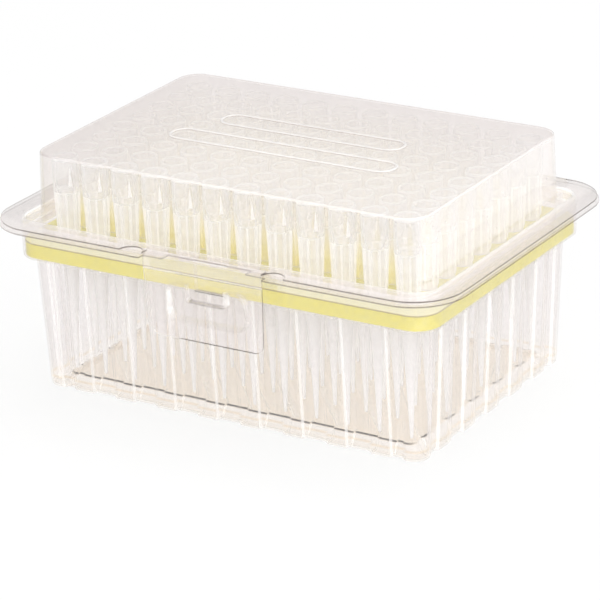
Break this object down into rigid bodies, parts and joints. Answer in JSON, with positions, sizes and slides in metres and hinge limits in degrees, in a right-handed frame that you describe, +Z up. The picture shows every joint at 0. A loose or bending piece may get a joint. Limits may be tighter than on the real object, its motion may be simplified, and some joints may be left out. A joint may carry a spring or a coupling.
{
  "type": "box of pipette tips",
  "caption": "Clear hinged box with a fluted tray, a perforated deck and a full grid of ribbed pipette tips standing in it.",
  "frame": {"origin": "centre of the tip grid, on the surface the tray stands on", "axes": "+X along the long side, -Y the latch side, +Y the hinge side, +Z up"},
  "size_m": [0.1328, 0.0948, 0.0635],
  "materials": {
    "clear_sheet": "clear formed sheet",
    "deck_plastic": "moulded, satin",
    "tip_plastic": "translucent, smooth"
  },
  "bodies": {
    "base": {"base_tray": "clear_sheet", "deck_plate": "deck_plastic", "tips_column_01": "tip_plastic", "tips_column_02": "tip_plastic", "tips_column_03": "tip_plastic", "tips_column_04": "tip_plastic", "tips_column_05": "tip_plastic", "tips_column_06": "tip_plastic", "tips_column_07": "tip_plastic", "tips_column_08": "tip_plastic", "tips_column_09": "tip_plastic", "tips_column_10": "tip_plastic", "tips_column_11": "tip_plastic", "tips_column_12": "tip_plastic"},
    "lid": {"lid": "clear_sheet"},
    "latch_tab": {"latch_tab": "clear_sheet"}
  },
  "joints": [
    {"name": "lid_hinge", "type": "hinge", "parent": "base", "child": "lid", "pos_m": [0, 0.0478, 0.04555], "axis": [-1, 0, 0], "range_deg": [0, 180]},
    {"name": "tab_fold", "type": "hinge", "parent": "lid", "child": "latch_tab", "pos_m": [0, -0.04625, 0.04245], "axis": [-1, 0, 0], "range_deg": [0, 75]}
  ]
}
